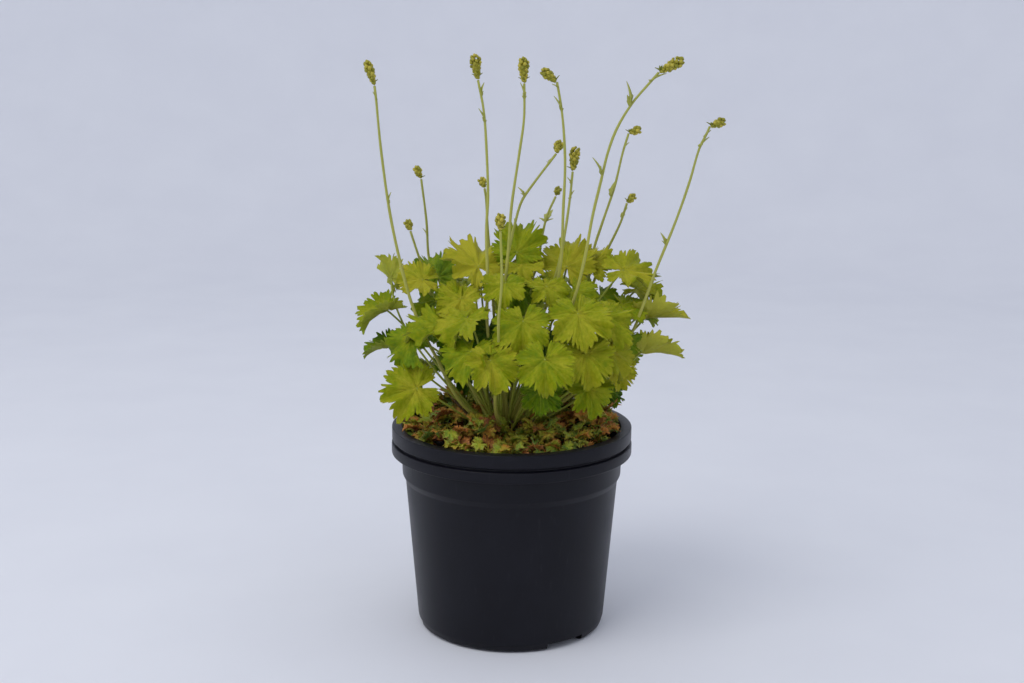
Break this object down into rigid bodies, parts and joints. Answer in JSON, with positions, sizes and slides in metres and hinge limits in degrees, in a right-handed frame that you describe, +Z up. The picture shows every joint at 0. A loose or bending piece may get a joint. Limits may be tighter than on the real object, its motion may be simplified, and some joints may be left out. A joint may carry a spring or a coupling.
{
  "type": "potted heuchera plant",
  "caption": "Potted heuchera plant: a mound of lobed, toothed leaves and slender stems of budded flower heads over a mat of old leaves, in a round tapered nursery pot with a banded rim.",
  "frame": {"origin": "centre of the pot's flat underside", "axes": "+Z up along the pot's axis; -Y is the plant's front, the side the picture was taken from; +X is the picture's right"},
  "size_m": [0.2534, 0.2003, 0.4037],
  "materials": {
    "black_plastic": "satin, lightly scuffed",
    "soil": "crumbly",
    "crown": "rough",
    "leaf_green": "soft, finely hairy",
    "stem_green": "finely hairy",
    "bud_olive": "matte",
    "old_leaf_green": "dry",
    "old_leaf_russet": "dry"
  },
  "bodies": {
    "root": {"pot": "black_plastic", "soil": "soil", "crown": "crown", "leaves_far_left": "leaf_green", "leaves_upper_left": "leaf_green", "leaves_left_middle": "leaf_green", "leaf_low_left": "leaf_green", "leaves_back_left_low": "leaf_green", "leaf_top_left": "leaf_green", "leaves_top_middle": "leaf_green", "leaves_front_left": "leaf_green", "leaves_front_middle": "leaf_green", "leaves_top_right": "leaf_green", "leaves_upper_right": "leaf_green", "leaves_far_right": "leaf_green", "leaves_low_right": "leaf_green", "leaves_front_right": "leaf_green", "leaves_front_hanging": "leaf_green", "leaves_mid_right": "leaf_green", "leaves_back_left": "leaf_green", "leaves_back_middle": "leaf_green", "leaves_back_right": "leaf_green", "flower_stem_01": "stem_green", "flower_stem_02": "stem_green", "flower_stem_03": "stem_green", "flower_stem_04": "stem_green", "flower_stem_05": "stem_green", "flower_stem_06": "stem_green", "flower_stem_07": "stem_green", "flower_stem_08": "stem_green", "flower_stem_09": "stem_green", "flower_stem_10": "stem_green", "flower_stem_11": "stem_green", "flower_stem_12": "stem_green", "flower_stem_13": "stem_green", "flower_stem_14": "stem_green", "flower_stem_15": "stem_green", "bud_head_01": "bud_olive", "bud_head_02": "bud_olive", "bud_head_03": "bud_olive", "bud_head_04": "bud_olive", "bud_head_05": "bud_olive", "bud_head_06": "bud_olive", "bud_head_07": "bud_olive", "bud_head_08": "bud_olive", "bud_head_09": "bud_olive", "bud_head_10": "bud_olive", "bud_head_11": "bud_olive", "bud_head_12": "bud_olive", "bud_head_13": "bud_olive", "bud_head_14": "bud_olive", "bud_head_15": "bud_olive", "basal_shoot_1": "old_leaf_russet", "basal_shoot_2": "old_leaf_green", "basal_shoot_3": "old_leaf_green", "basal_shoot_4": "old_leaf_russet", "basal_shoot_5": "old_leaf_russet", "basal_shoot_6": "old_leaf_green"}
  },
  "joints": []
}
